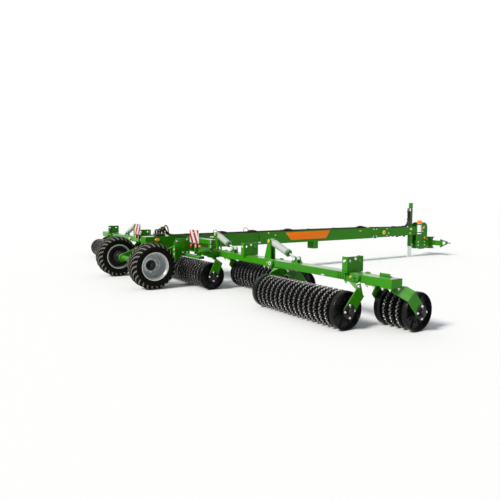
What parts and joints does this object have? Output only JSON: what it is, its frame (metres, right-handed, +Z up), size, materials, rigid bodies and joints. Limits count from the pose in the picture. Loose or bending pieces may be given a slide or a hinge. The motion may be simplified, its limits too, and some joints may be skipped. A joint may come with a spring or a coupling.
{
  "type": "trailed packer roller with folding wings",
  "caption": "Trailed ring roller: toothed ring gangs under folding wing beams, long drawbar with link hitch, and a lifting wheel axle behind.",
  "frame": {"origin": "on the ground, half way between the tyres' rear and the hitch eyes, on the centre plane", "axes": "+X to the machine's right-hand side, +Y forwards to the hitch, +Z up"},
  "size_m": [12.338, 10.6439, 1.66],
  "materials": {
    "green_paint": "gloss paint",
    "black_iron": "painted casting",
    "rim_silver": "satin paint",
    "tyre_rubber": "matt rubber",
    "cylinder_silver": "satin paint",
    "rod_chrome": "polished",
    "board_red_white": "reflective sheet",
    "tube_white": "moulded",
    "hose_black": "smooth rubber",
    "zinc": "zinc plated"
  },
  "bodies": {
    "root": {"main_frame": "green_paint", "cross_frame_right": "green_paint", "cross_frame_left": "green_paint", "gang_outrigger_right": "green_paint", "gang_outrigger_left": "green_paint", "centre_bearings": "black_iron", "drawbar_front": "green_paint", "headstock": "green_paint", "jack_tube": "green_paint", "hose_post": "green_paint", "document_tube": "tube_white", "hydraulic_pipes": "hose_black", "warning_board_right": "board_red_white", "warning_board_left": "board_red_white"},
    "axle": {"axle_frame": "green_paint"},
    "yoke": {"hitch_yoke": "green_paint"},
    "jack": {"jack_leg": "zinc"},
    "centre_gang": {"centre_rings": "black_iron"},
    "wheel_right": {"wheel_rim_right": "rim_silver", "tyre_right": "tyre_rubber"},
    "knuckle_right": {"fold_knuckle_right": "green_paint"},
    "inner_right": {"inner_frame_right": "green_paint", "inner_bearings_right": "black_iron"},
    "inner_gang_right": {"inner_rings_right": "black_iron"},
    "inner_barrel_right": {"inner_barrel_right": "cylinder_silver"},
    "inner_rod_right": {"inner_rod_right": "rod_chrome"},
    "middle_right": {"middle_frame_right": "green_paint", "middle_bearings_right": "black_iron"},
    "middle_gang_right": {"middle_rings_right": "black_iron"},
    "middle_barrel_right": {"middle_barrel_right": "cylinder_silver"},
    "middle_rod_right": {"middle_rod_right": "rod_chrome"},
    "outer_right": {"outer_frame_right": "green_paint", "outer_bearings_right": "black_iron"},
    "outer_gang_right": {"outer_rings_right": "black_iron"},
    "wheel_left": {"wheel_rim_left": "rim_silver", "tyre_left": "tyre_rubber"},
    "knuckle_left": {"fold_knuckle_left": "green_paint"},
    "inner_left": {"inner_frame_left": "green_paint", "inner_bearings_left": "black_iron"},
    "inner_gang_left": {"inner_rings_left": "black_iron"},
    "inner_barrel_left": {"inner_barrel_left": "cylinder_silver"},
    "inner_rod_left": {"inner_rod_left": "rod_chrome"},
    "middle_left": {"middle_frame_left": "green_paint", "middle_bearings_left": "black_iron"},
    "middle_gang_left": {"middle_rings_left": "black_iron"},
    "middle_barrel_left": {"middle_barrel_left": "cylinder_silver"},
    "middle_rod_left": {"middle_rod_left": "rod_chrome"},
    "outer_left": {"outer_frame_left": "green_paint", "outer_bearings_left": "black_iron"},
    "outer_gang_left": {"outer_rings_left": "black_iron"}
  },
  "joints": [
    {"name": "axle_lift", "type": "hinge", "parent": "root", "child": "axle", "pos_m": [0, -3.953, 0.8], "axis": [1, 0, 0], "range_deg": [0, 20]},
    {"name": "hitch_swivel", "type": "hinge", "parent": "root", "child": "yoke", "pos_m": [0, 4.887, 0.4], "axis": [0, 0, 1], "range_deg": [-60, 60]},
    {"name": "jack_slide", "type": "slide", "parent": "root", "child": "jack", "axis": [0, 0, 1], "range_m": [0, 0.28]},
    {"name": "centre_gang_spin", "type": "hinge", "parent": "root", "child": "centre_gang", "pos_m": [0, -3.945, 0.26677], "axis": [1, 0, 0], "continuous": true},
    {"name": "wheel_right_spin", "type": "hinge", "parent": "axle", "child": "wheel_right", "pos_m": [1.06, -4.867, 0.455], "axis": [1, 0, 0], "continuous": true},
    {"name": "wing_fold_right", "type": "hinge", "parent": "root", "child": "knuckle_right", "pos_m": [1.4, -3.573, 0.67], "axis": [0, 0, 1], "range_deg": [0, 90]},
    {"name": "inner_float_right", "type": "hinge", "parent": "knuckle_right", "child": "inner_right", "pos_m": [1.56, -3.573, 0.67], "axis": [0, -1, 0], "range_deg": [-6, 8]},
    {"name": "inner_gang_right_spin", "type": "hinge", "parent": "inner_right", "child": "inner_gang_right", "pos_m": [1.56, -3.201, 0.26677], "axis": [1, 0, 0], "continuous": true},
    {"name": "inner_barrel_right_pivot", "type": "hinge", "parent": "knuckle_right", "child": "inner_barrel_right", "pos_m": [1.395, -3.573, 1.04], "axis": [0, -1, 0], "range_deg": [-3.65, 4.87]},
    {"name": "inner_rod_right_slide", "type": "slide", "parent": "inner_barrel_right", "child": "inner_rod_right", "axis": [0.939, 0, -0.344], "range_m": [-0.04178, 0.03134]},
    {"name": "middle_float_right", "type": "hinge", "parent": "inner_right", "child": "middle_right", "pos_m": [3.426, -3.573, 0.67], "axis": [0, -1, 0], "range_deg": [-6, 8]},
    {"name": "middle_gang_right_spin", "type": "hinge", "parent": "middle_right", "child": "middle_gang_right", "pos_m": [3.426, -3.945, 0.26677], "axis": [1, 0, 0], "continuous": true},
    {"name": "middle_barrel_right_pivot", "type": "hinge", "parent": "inner_right", "child": "middle_barrel_right", "pos_m": [3.285, -3.573, 1.03], "axis": [0, -1, 0], "range_deg": [-4.07, 5.43]},
    {"name": "middle_rod_right_slide", "type": "slide", "parent": "middle_barrel_right", "child": "middle_rod_right", "axis": [0.9459, 0, -0.3243], "range_m": [-0.04236, 0.03177]},
    {"name": "outer_float_right", "type": "hinge", "parent": "middle_right", "child": "outer_right", "pos_m": [5.42, -3.573, 0.67], "axis": [0, -1, 0], "range_deg": [-6, 8]},
    {"name": "outer_gang_right_spin", "type": "hinge", "parent": "outer_right", "child": "outer_gang_right", "pos_m": [5.42, -3.201, 0.26677], "axis": [1, 0, 0], "continuous": true},
    {"name": "wheel_left_spin", "type": "hinge", "parent": "axle", "child": "wheel_left", "pos_m": [-1.06, -4.867, 0.455], "axis": [1, 0, 0], "continuous": true},
    {"name": "wing_fold_left", "type": "hinge", "parent": "root", "child": "knuckle_left", "pos_m": [-1.4, -3.573, 0.67], "axis": [0, 0, -1], "range_deg": [0, 90]},
    {"name": "inner_float_left", "type": "hinge", "parent": "knuckle_left", "child": "inner_left", "pos_m": [-1.56, -3.573, 0.67], "axis": [0, 1, 0], "range_deg": [-6, 8]},
    {"name": "inner_gang_left_spin", "type": "hinge", "parent": "inner_left", "child": "inner_gang_left", "pos_m": [-1.56, -3.201, 0.26677], "axis": [1, 0, 0], "continuous": true},
    {"name": "inner_barrel_left_pivot", "type": "hinge", "parent": "knuckle_left", "child": "inner_barrel_left", "pos_m": [-1.395, -3.573, 1.04], "axis": [0, 1, 0], "range_deg": [-3.65, 4.87]},
    {"name": "inner_rod_left_slide", "type": "slide", "parent": "inner_barrel_left", "child": "inner_rod_left", "axis": [-0.939, 0, -0.344], "range_m": [-0.04178, 0.03134]},
    {"name": "middle_float_left", "type": "hinge", "parent": "inner_left", "child": "middle_left", "pos_m": [-3.426, -3.573, 0.67], "axis": [0, 1, 0], "range_deg": [-6, 8]},
    {"name": "middle_gang_left_spin", "type": "hinge", "parent": "middle_left", "child": "middle_gang_left", "pos_m": [-3.426, -3.945, 0.26677], "axis": [1, 0, 0], "continuous": true},
    {"name": "middle_barrel_left_pivot", "type": "hinge", "parent": "inner_left", "child": "middle_barrel_left", "pos_m": [-3.285, -3.573, 1.03], "axis": [0, 1, 0], "range_deg": [-4.07, 5.43]},
    {"name": "middle_rod_left_slide", "type": "slide", "parent": "middle_barrel_left", "child": "middle_rod_left", "axis": [-0.9459, 0, -0.3243], "range_m": [-0.04236, 0.03177]},
    {"name": "outer_float_left", "type": "hinge", "parent": "middle_left", "child": "outer_left", "pos_m": [-5.42, -3.573, 0.67], "axis": [0, 1, 0], "range_deg": [-6, 8]},
    {"name": "outer_gang_left_spin", "type": "hinge", "parent": "outer_left", "child": "outer_gang_left", "pos_m": [-5.42, -3.201, 0.26677], "axis": [1, 0, 0], "continuous": true}
  ],
  "couplings": [
    {"joint": "inner_barrel_right_pivot", "follows": "inner_float_right", "ratio": 0.59722},
    {"joint": "inner_rod_right_slide", "follows": "inner_float_right", "m_per_rad": -0.29336},
    {"joint": "middle_barrel_right_pivot", "follows": "middle_float_right", "ratio": 0.66485},
    {"joint": "middle_rod_right_slide", "follows": "middle_float_right", "m_per_rad": -0.29744},
    {"joint": "inner_barrel_left_pivot", "follows": "inner_float_left", "ratio": 0.59722},
    {"joint": "inner_rod_left_slide", "follows": "inner_float_left", "m_per_rad": -0.29336},
    {"joint": "middle_barrel_left_pivot", "follows": "middle_float_left", "ratio": 0.66485},
    {"joint": "middle_rod_left_slide", "follows": "middle_float_left", "m_per_rad": -0.29744}
  ]
}
